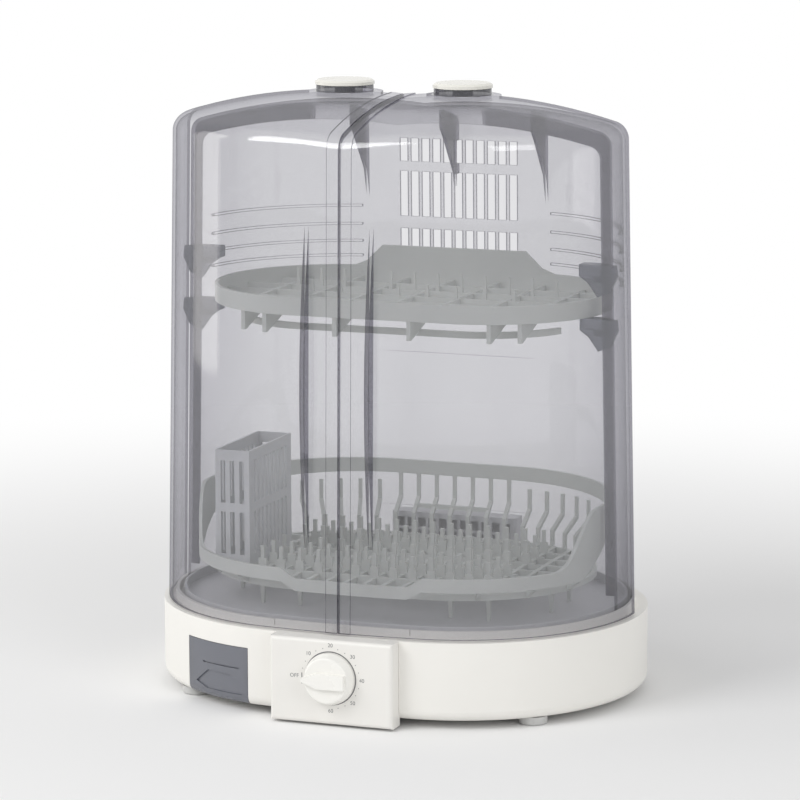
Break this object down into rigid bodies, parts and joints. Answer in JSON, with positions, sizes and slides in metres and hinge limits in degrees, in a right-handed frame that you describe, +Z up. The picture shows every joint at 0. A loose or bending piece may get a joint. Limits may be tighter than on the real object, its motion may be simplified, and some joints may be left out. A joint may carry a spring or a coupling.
{
  "type": "dish dryer cabinet",
  "caption": "Table-top dish dryer with a white base, timer dial, drip drawer, two baskets and two clear swing doors that turn round a clear rear shell.",
  "frame": {"origin": "middle of the footprint's box, on the surface that the feet stand on", "axes": "+Z up, -Y to the front with the timer dial and doors, +X to the right seen from the front"},
  "size_m": [0.39, 0.3224, 0.4788],
  "materials": {
    "body_white": "moulded white plastic with a fine satin grain",
    "panel_white": "smooth moulded white plastic",
    "cap_white": "semi-gloss cream white",
    "knob_white": "semi-gloss white",
    "clear_smoke": "clear plastic with a slight purple-grey tint",
    "drawer_smoke": "translucent blue-grey plastic",
    "bracket_smoke": "translucent dark grey plastic",
    "basket_grey": "satin light grey plastic",
    "stand_grey": "satin pale grey plastic",
    "tray_grey": "satin pale grey plastic",
    "inner_white": "plain moulded plastic",
    "dark_plastic": "dark moulded plastic",
    "motor_steel": "plated steel",
    "steel": "bright steel",
    "fin_aluminium": "plain aluminium",
    "feet_rubber": "pale grey rubber"
  },
  "bodies": {
    "cabinet": {"base_shell": "body_white", "bottom_plate": "body_white", "rubber_feet": "feet_rubber", "bottom_screws": "steel", "intake_filter": "dark_plastic", "control_panel": "panel_white", "timer_unit": "inner_white", "drawer_housing": "inner_white", "blower_housing": "inner_white", "fan_motor": "motor_steel", "air_duct": "inner_white", "heater_block": "fin_aluminium", "heater_holder": "dark_plastic", "thermal_cutout": "dark_plastic", "air_outlet_box": "tray_grey", "cord_bushing": "dark_plastic", "drip_tray": "tray_grey", "tray_ring": "body_white", "lower_basket": "basket_grey", "lower_basket_floor": "basket_grey", "lower_basket_pegs": "basket_grey", "lower_basket_legs": "basket_grey", "cutlery_stand": "stand_grey", "upper_basket": "basket_grey", "upper_basket_pegs": "basket_grey", "rear_shell": "clear_smoke", "pivot_cap_left": "cap_white", "pivot_cap_right": "cap_white", "shelf_bracket_left_lower": "bracket_smoke", "shelf_bracket_left_upper": "bracket_smoke", "shelf_bracket_right_lower": "bracket_smoke", "shelf_bracket_right_upper": "bracket_smoke"},
    "door_left": {"door_left": "clear_smoke"},
    "door_right": {"door_right": "clear_smoke"},
    "timer": {"timer_knob": "knob_white", "timer_shaft": "steel"},
    "drip_drawer": {"drip_drawer": "drawer_smoke"},
    "fan_rotor": {"fan_impeller": "inner_white", "fan_shaft": "steel"}
  },
  "joints": [
    {"name": "door_left_hinge", "type": "hinge", "parent": "cabinet", "child": "door_left", "pos_m": [-0.049, 0.01325, 0.27], "axis": [0, 0, -1], "range_deg": [0, 98]},
    {"name": "door_right_hinge", "type": "hinge", "parent": "cabinet", "child": "door_right", "pos_m": [0.049, 0.01325, 0.27], "axis": [0, 0, 1], "range_deg": [0, 98]},
    {"name": "timer_turn", "type": "hinge", "parent": "cabinet", "child": "timer", "pos_m": [0, -0.14675, 0.0383], "axis": [0, 1, 0], "range_deg": [0, 270]},
    {"name": "drawer_slide", "type": "slide", "parent": "cabinet", "child": "drip_drawer", "axis": [0, -1, 0], "range_m": [0, 0.075]},
    {"name": "fan_spin", "type": "hinge", "parent": "cabinet", "child": "fan_rotor", "pos_m": [0, 0.02325, 0.045], "axis": [0, 0, 1], "continuous": true}
  ]
}
